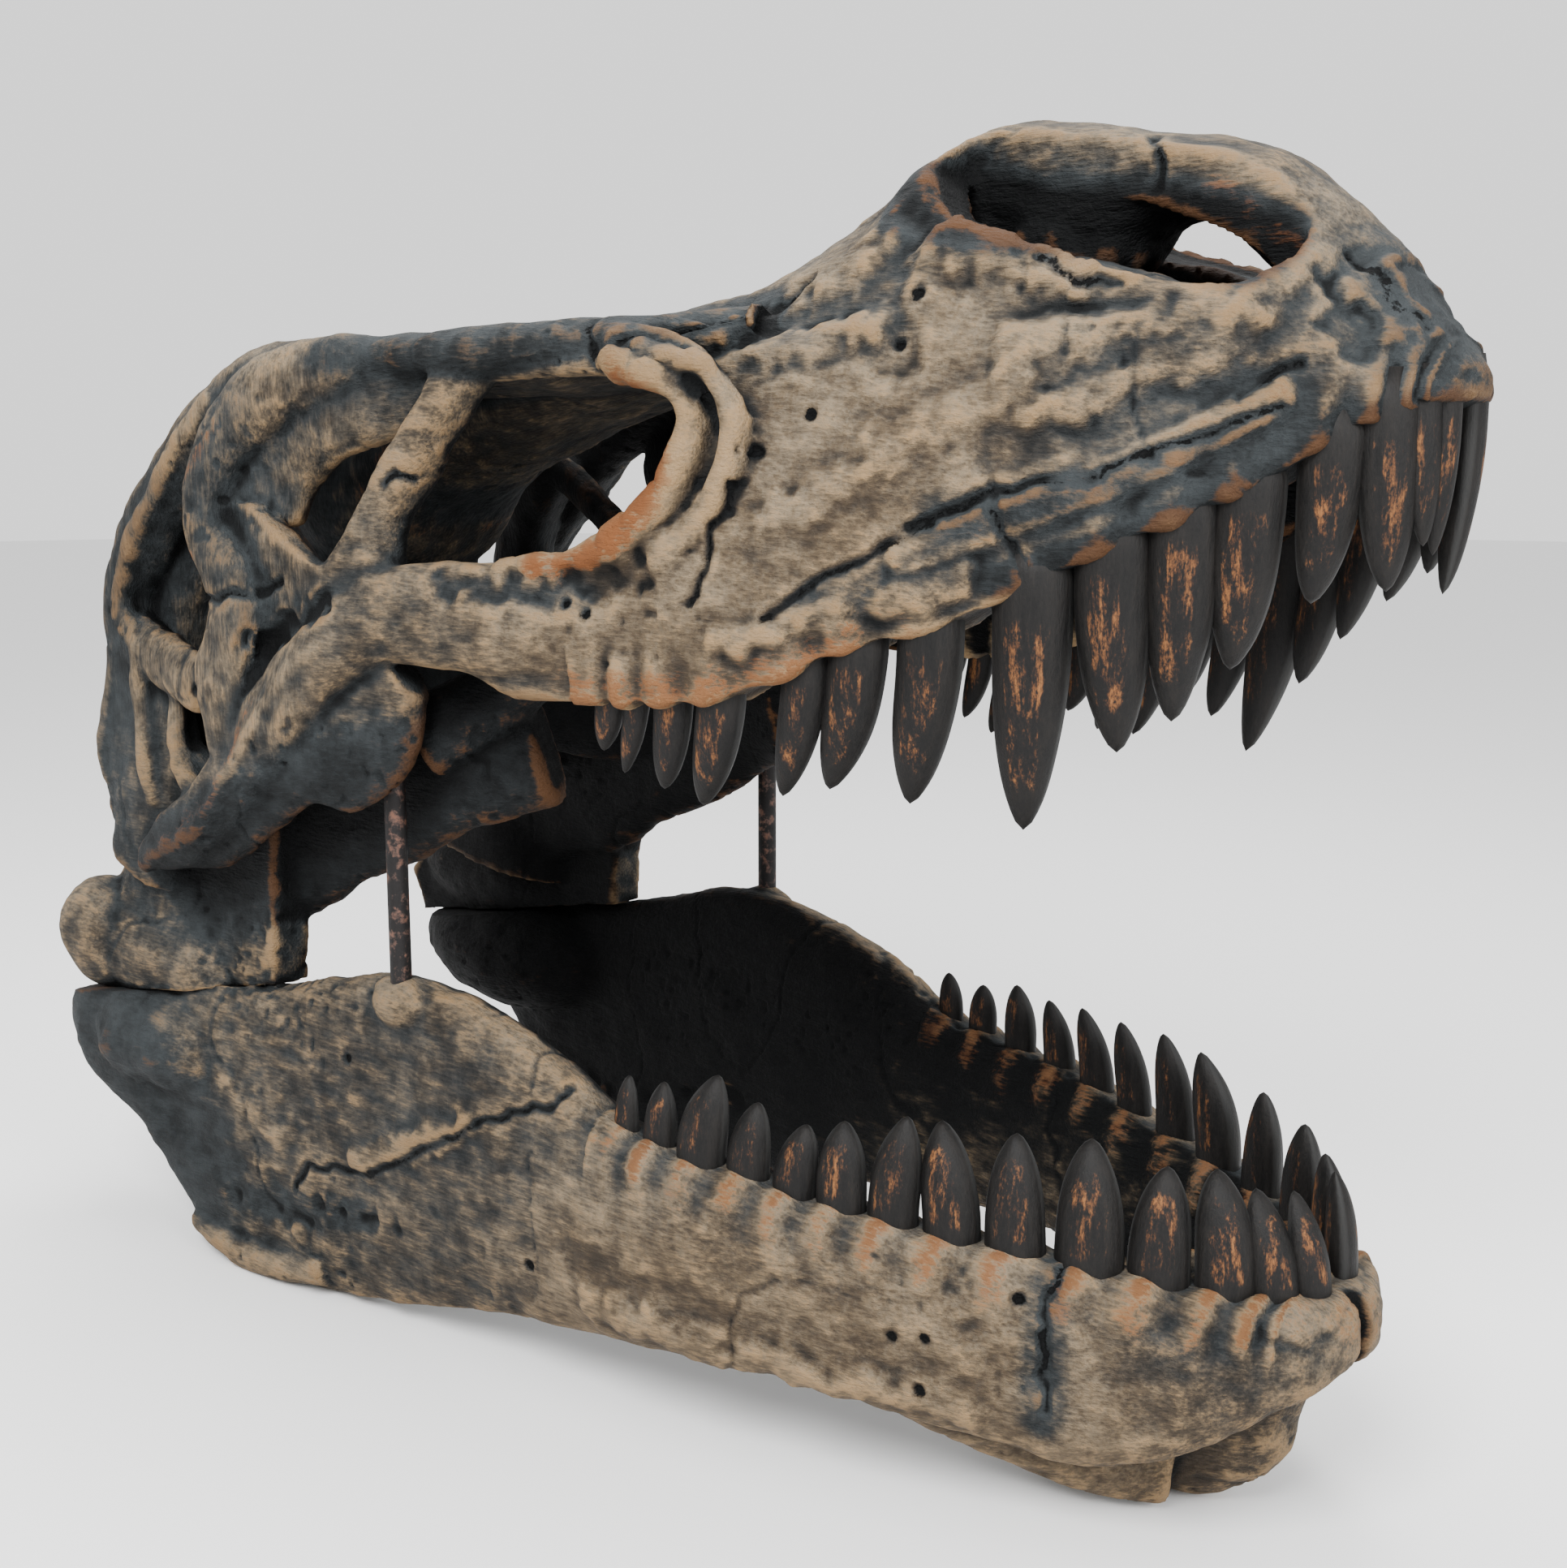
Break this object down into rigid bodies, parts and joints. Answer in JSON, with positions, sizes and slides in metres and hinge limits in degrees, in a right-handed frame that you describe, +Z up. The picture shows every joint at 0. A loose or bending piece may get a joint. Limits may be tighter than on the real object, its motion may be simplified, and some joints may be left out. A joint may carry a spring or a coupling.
{
  "type": "dinosaur skull fossil",
  "caption": "Life-size tyrannosaur skull fossil, its toothed jaws agape: the cranium stands over the lower jaw on its quadrates and slim steel rods.",
  "frame": {"origin": "centre of the bounding box, on the floor", "axes": "+X towards the snout, +Y towards the animal's left, +Z up"},
  "size_m": [1.4554, 0.6526, 1.0681],
  "materials": {
    "fossil_bone": "dark mineralised bone with tan and rust-orange worn areas and a pale dusty film",
    "dark_steel": "dark satin, lightly rusted"
  },
  "bodies": {
    "root": {"nasal": "fossil_bone", "braincase": "fossil_bone", "premaxilla_left": "fossil_bone", "premaxilla_right": "fossil_bone", "maxilla_left": "fossil_bone", "maxilla_right": "fossil_bone", "lacrimal_left": "fossil_bone", "lacrimal_right": "fossil_bone", "postorbital_left": "fossil_bone", "postorbital_right": "fossil_bone", "pterygoid_left": "fossil_bone", "pterygoid_right": "fossil_bone", "jugal_left": "fossil_bone", "jugal_right": "fossil_bone", "quadrate_left": "fossil_bone", "quadrate_right": "fossil_bone", "squamosal_left": "fossil_bone", "squamosal_right": "fossil_bone", "dentary_left": "fossil_bone", "dentary_right": "fossil_bone", "surangular_left": "fossil_bone", "surangular_right": "fossil_bone", "rod_left": "dark_steel", "rod_right": "dark_steel"}
  },
  "joints": []
}
